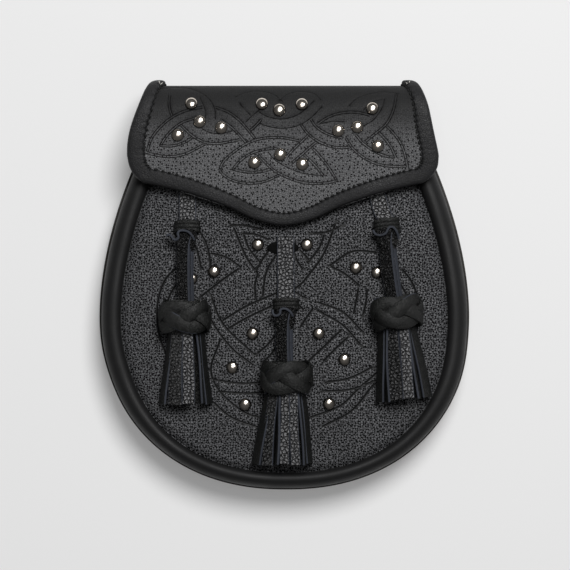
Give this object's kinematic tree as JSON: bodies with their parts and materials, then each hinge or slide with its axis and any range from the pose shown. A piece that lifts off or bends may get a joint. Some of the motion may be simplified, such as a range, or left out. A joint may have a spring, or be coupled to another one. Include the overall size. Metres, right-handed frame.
{
  "type": "sporran pouch",
  "caption": "Leather sporran pouch with a bound pointed flap over its mouth, a rolled front rim, tooled knotwork, domed studs and hanging leather tassels.",
  "frame": {"origin": "middle of the part's outline, on the surface that it lies on", "axes": "+X to the right of the front as it faces the viewer, +Y from the bottom of the pouch towards the fold of its flap, +Z out of its front"},
  "size_m": [0.1794, 0.197, 0.0457],
  "materials": {
    "pebbled_leather": "pebbled black leather, tooled",
    "smooth_leather": "smooth soft black leather, satin",
    "back_leather": "plain black leather with raw brown edges",
    "nickel": "polished nickel domes"
  },
  "bodies": {
    "root": {"back_panel": "back_leather", "rim_roll": "smooth_leather", "gusset": "smooth_leather", "front_panel": "pebbled_leather", "flap": "pebbled_leather", "flap_binding": "smooth_leather", "belt_loop_left": "back_leather", "belt_loop_right": "back_leather", "strap_left": "pebbled_leather", "strap_centre": "pebbled_leather", "strap_right": "pebbled_leather", "thong_left": "pebbled_leather", "thong_centre": "pebbled_leather", "thong_right": "pebbled_leather", "tassel_left": "smooth_leather", "tassel_centre": "smooth_leather", "tassel_right": "smooth_leather", "flap_stud_01": "nickel", "flap_stud_02": "nickel", "flap_stud_03": "nickel", "flap_stud_04": "nickel", "flap_stud_05": "nickel", "flap_stud_06": "nickel", "flap_stud_07": "nickel", "flap_stud_08": "nickel", "flap_stud_09": "nickel", "flap_stud_10": "nickel", "flap_stud_11": "nickel", "flap_stud_12": "nickel", "flap_stud_13": "nickel", "flap_stud_14": "nickel", "body_stud_01": "nickel", "body_stud_02": "nickel", "body_stud_03": "nickel", "body_stud_04": "nickel", "body_stud_05": "nickel", "body_stud_06": "nickel", "body_stud_07": "nickel", "body_stud_08": "nickel", "body_stud_09": "nickel", "body_stud_10": "nickel", "body_stud_11": "nickel", "body_stud_12": "nickel"}
  },
  "joints": []
}
